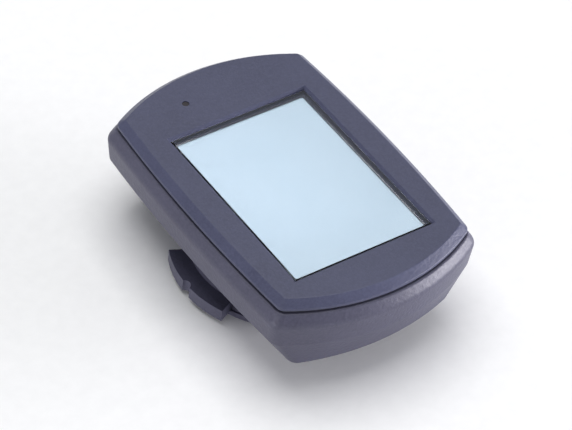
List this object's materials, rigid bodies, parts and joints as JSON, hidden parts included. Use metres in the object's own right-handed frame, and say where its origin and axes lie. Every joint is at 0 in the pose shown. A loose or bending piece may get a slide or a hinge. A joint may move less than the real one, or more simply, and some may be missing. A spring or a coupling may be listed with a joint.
{
  "type": "cycling computer",
  "caption": "Compact handlebar cycling computer head unit: bevelled face with a blank window, deep shell with bowed ends, underside buttons and a quarter-turn foot that holds the cell door.",
  "frame": {"origin": "centre of the foot's lower face, where the head unit meets its bracket", "axes": "+Z the way the screen faces, +Y away from the rider, along the bicycle, +X to the rider's right"},
  "size_m": [0.0326, 0.048, 0.0158],
  "materials": {
    "shell": "fine matte moulded plastic, dark grey",
    "cover": "smooth satin moulded plastic, dark grey",
    "seal": "matte silicone, black",
    "fastener": "zinc-plated steel",
    "lens": "clear polished acrylic",
    "tape": "black bonding tape",
    "screen": "pale blue-grey reflective display, blank",
    "display_glass": "clear display glass",
    "reflector": "satin reflector film",
    "zebra": "layered elastomer connector",
    "holder": "white moulded plastic",
    "board": "green solder mask over laminate",
    "chip": "black moulded package",
    "can": "drawn metal can",
    "ceramic": "ceramic with tinned ends",
    "ferrite": "sintered ferrite, dark grey",
    "winding": "enamelled copper wire",
    "light_pipe": "dark translucent plastic",
    "button": "soft-touch moulded button, black",
    "dome": "spring steel snap dome",
    "cell": "plated steel cell can",
    "contact": "plated spring steel",
    "door": "matte moulded plastic, dark grey"
  },
  "bodies": {
    "housing": {"rear_housing": "shell", "front_cover": "cover", "housing_gasket": "seal", "housing_screws": "fastener", "display_lens": "lens", "lens_adhesive": "tape", "lcd_polarizer": "screen", "lcd_front_glass": "display_glass", "lcd_rear_glass": "display_glass", "lcd_reflector": "reflector", "zebra_strip_front": "zebra", "zebra_strip_rear": "zebra", "lcd_holder": "holder", "main_board": "board", "board_screws": "fastener", "microcontroller": "chip", "quartz_crystal": "can", "chip_parts": "ceramic", "antenna_core": "ferrite", "antenna_coil": "winding", "indicator_led": "ceramic", "indicator_window": "light_pipe", "mode_seal": "seal", "menu_seal": "seal", "reset_seal": "seal", "mode_dome": "dome", "menu_dome": "dome", "reset_dome": "dome", "coin_cell": "cell", "positive_contact": "contact", "negative_contact": "contact"},
    "mode_key": {"mode_button": "button"},
    "menu_key": {"menu_button": "button"},
    "reset_key": {"reset_button": "button"},
    "door": {"battery_door": "door", "door_o_ring": "seal"}
  },
  "joints": [
    {"name": "mode_press", "type": "slide", "parent": "housing", "child": "mode_key", "axis": [0, 0, 1], "range_m": [0, 0.00045], "stiffness_N_per_m": 1500, "deforming": ["mode_dome"]},
    {"name": "menu_press", "type": "slide", "parent": "housing", "child": "menu_key", "axis": [0, 0, 1], "range_m": [0, 0.00045], "stiffness_N_per_m": 1500, "deforming": ["menu_dome"]},
    {"name": "reset_press", "type": "slide", "parent": "housing", "child": "reset_key", "axis": [0, 0, 1], "range_m": [0, 0.00045], "stiffness_N_per_m": 1500, "deforming": ["reset_dome"]},
    {"name": "door_turn", "type": "hinge", "parent": "housing", "child": "door", "pos_m": [0, 0, 0.0013], "axis": [0, 0, -1], "range_deg": [0, 50]}
  ]
}
